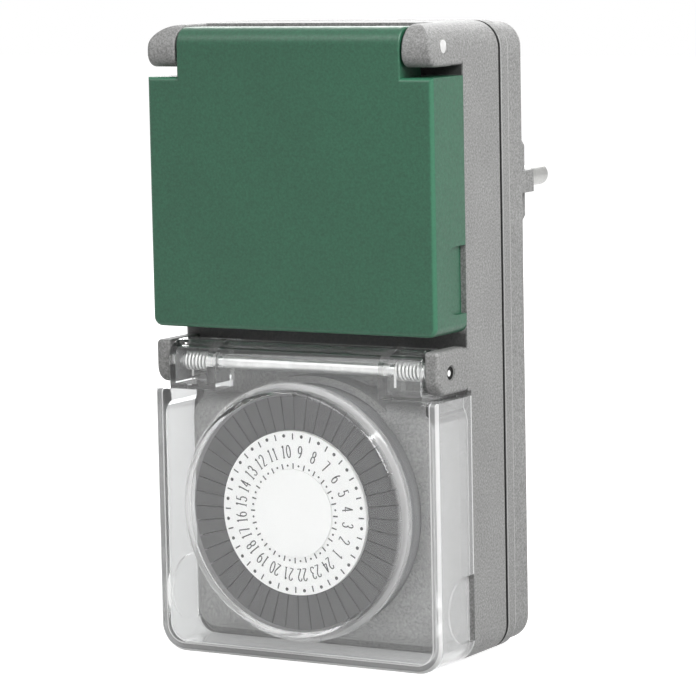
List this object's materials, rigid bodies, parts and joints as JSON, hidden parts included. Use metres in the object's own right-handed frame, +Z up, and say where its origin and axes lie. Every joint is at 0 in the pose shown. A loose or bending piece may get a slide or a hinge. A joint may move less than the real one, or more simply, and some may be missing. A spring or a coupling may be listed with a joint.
{
  "type": "plug in timer switch",
  "caption": "Outdoor plug-in mechanical timer: segment dial under a clear hinged flap, socket under a green hinged flap, two-pin earthed plug on the back",
  "frame": {"origin": "centre of the plug's engagement face, midway between the two pins", "axes": "+Y points into the wall socket along the pins, +Z is up, the flaps face -Y"},
  "size_m": [0.07, 0.1001, 0.1361],
  "materials": {
    "grey_plastic": "fine spark-eroded texture, mid grey",
    "green_plastic": "fine matt texture, dark green",
    "clear_plastic": "clear polished plastic",
    "black_rubber": "matt black",
    "zinc_steel": "zinc plated",
    "spring_steel": "bright drawn wire",
    "nickel": "nickel plated, slightly dull",
    "brass": "plain brass",
    "dark_insulator": "black thermoset",
    "socket_plastic": "dark grey, fine texture",
    "wheel_plastic": "satin grey",
    "segment_plastic": "satin dark grey",
    "white_print": "white with black printed hour numbers",
    "white_cap": "white, satin",
    "gear_plastic": "natural acetal",
    "plunger_plastic": "red",
    "motor_steel": "galvanised can",
    "coil_copper": "enamelled copper winding"
  },
  "bodies": {
    "housing": {"front_housing": "grey_plastic", "rear_housing": "grey_plastic", "plug_neck": "grey_plastic", "housing_gasket": "black_rubber", "housing_screws": "zinc_steel", "pin_carrier": "dark_insulator", "plug_pin_left": "nickel", "plug_pin_right": "nickel", "plug_earth_strap": "nickel", "socket_well": "socket_plastic", "socket_earth_strap": "nickel", "contact_block": "dark_insulator", "socket_contact_left": "brass", "socket_contact_right": "brass", "neutral_bar": "brass", "earth_bar": "brass", "live_feed_bar": "brass", "live_return_bar": "brass", "socket_lid_seal": "black_rubber", "socket_hinge_rod": "spring_steel", "socket_spring_left": "spring_steel", "socket_spring_right": "spring_steel", "timer_hinge_rod": "spring_steel", "timer_spring_left": "spring_steel", "timer_spring_right": "spring_steel", "dial_arbor": "zinc_steel", "timer_plate": "dark_insulator", "timer_screws": "zinc_steel", "reduction_arbor": "zinc_steel", "motor_case": "motor_steel", "motor_coil": "coil_copper", "lever_pin": "zinc_steel", "switch_body": "dark_insulator"},
    "socket_flap": {"socket_lid": "green_plastic"},
    "timer_flap": {"timer_lid": "clear_plastic"},
    "dial": {"dial_wheel": "wheel_plastic", "dial_segments": "segment_plastic", "dial_disc": "white_print", "dial_cap": "white_cap"},
    "segment": {"dial_segment_pressed": "segment_plastic"},
    "reduction": {"reduction_gear": "gear_plastic"},
    "pinion": {"motor_pinion": "brass"},
    "lever": {"switch_lever": "gear_plastic"},
    "plunger": {"switch_plunger": "plunger_plastic"}
  },
  "joints": [
    {"name": "socket_lid_hinge", "type": "hinge", "parent": "housing", "child": "socket_flap", "pos_m": [0, -0.0726, 0.0331], "axis": [-1, 0, 0], "range_deg": [0, 90], "stiffness_Nm_per_rad": 0.01, "springref_deg": -34.38},
    {"name": "timer_lid_hinge", "type": "hinge", "parent": "housing", "child": "timer_flap", "pos_m": [0, -0.0721, -0.0349], "axis": [-1, 0, 0], "range_deg": [0, 78], "stiffness_Nm_per_rad": 0.01, "springref_deg": -34.38},
    {"name": "dial_spin", "type": "hinge", "parent": "housing", "child": "dial", "pos_m": [0, -0.07, -0.06585], "axis": [0, 1, 0], "continuous": true},
    {"name": "segment_slide", "type": "slide", "parent": "dial", "child": "segment", "axis": [0, 1, 0], "range_m": [0, 0.002]},
    {"name": "reduction_spin", "type": "hinge", "parent": "housing", "child": "reduction", "pos_m": [0.02031, -0.06, -0.08007], "axis": [0, 1, 0], "continuous": true},
    {"name": "pinion_spin", "type": "hinge", "parent": "housing", "child": "pinion", "pos_m": [0.00651, -0.06, -0.08007], "axis": [0, 1, 0], "continuous": true},
    {"name": "lever_rock", "type": "hinge", "parent": "housing", "child": "lever", "pos_m": [0.0126, -0.0601, -0.05848], "axis": [-1, 0, 0], "range_deg": [0, 9.2]},
    {"name": "plunger_slide", "type": "slide", "parent": "housing", "child": "plunger", "axis": [0, 1, 0], "range_m": [0, 0.0015]}
  ],
  "couplings": [
    {"joint": "reduction_spin", "follows": "dial_spin", "ratio": -4.1667},
    {"joint": "pinion_spin", "follows": "dial_spin", "ratio": 15},
    {"joint": "lever_rock", "follows": "segment_slide", "rad_per_m": 80},
    {"joint": "plunger_slide", "follows": "segment_slide", "ratio": 0.75}
  ]
}
